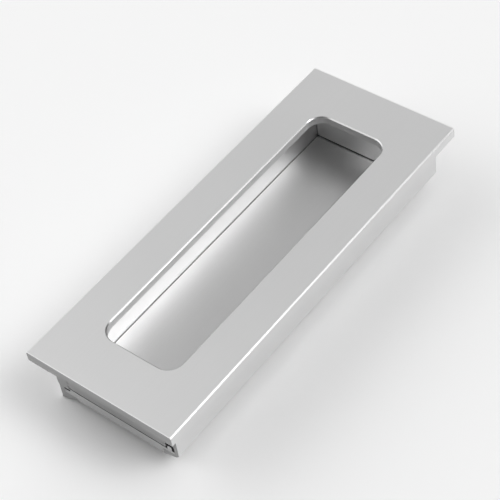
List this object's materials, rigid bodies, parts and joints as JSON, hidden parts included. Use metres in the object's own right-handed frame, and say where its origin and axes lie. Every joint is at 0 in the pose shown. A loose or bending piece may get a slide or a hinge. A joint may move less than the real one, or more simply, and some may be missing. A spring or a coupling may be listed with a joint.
{
  "type": "recessed pull handle",
  "caption": "Recessed pull handle: a long rectangular face plate with a rounded window over a box-shaped finger recess, closed by end blocks and a hooked-in floor.",
  "frame": {"origin": "middle of the face plate's outline, on the level of the lowest foot; the part lies on its back", "axes": "+X along the handle towards the far end, +Y towards the wall with the long foot, +Z out of the face"},
  "size_m": [0.1084, 0.042, 0.0183],
  "materials": {
    "profile": "satin anodised, silver, with sawn and brushed ends",
    "floor": "satin anodised, silver",
    "blocks": "satin anodised, silver, with brushed faces"
  },
  "bodies": {
    "root": {"front_profile": "profile", "floor_plate": "floor", "near_end_block": "blocks", "far_end_block": "blocks"}
  },
  "joints": []
}
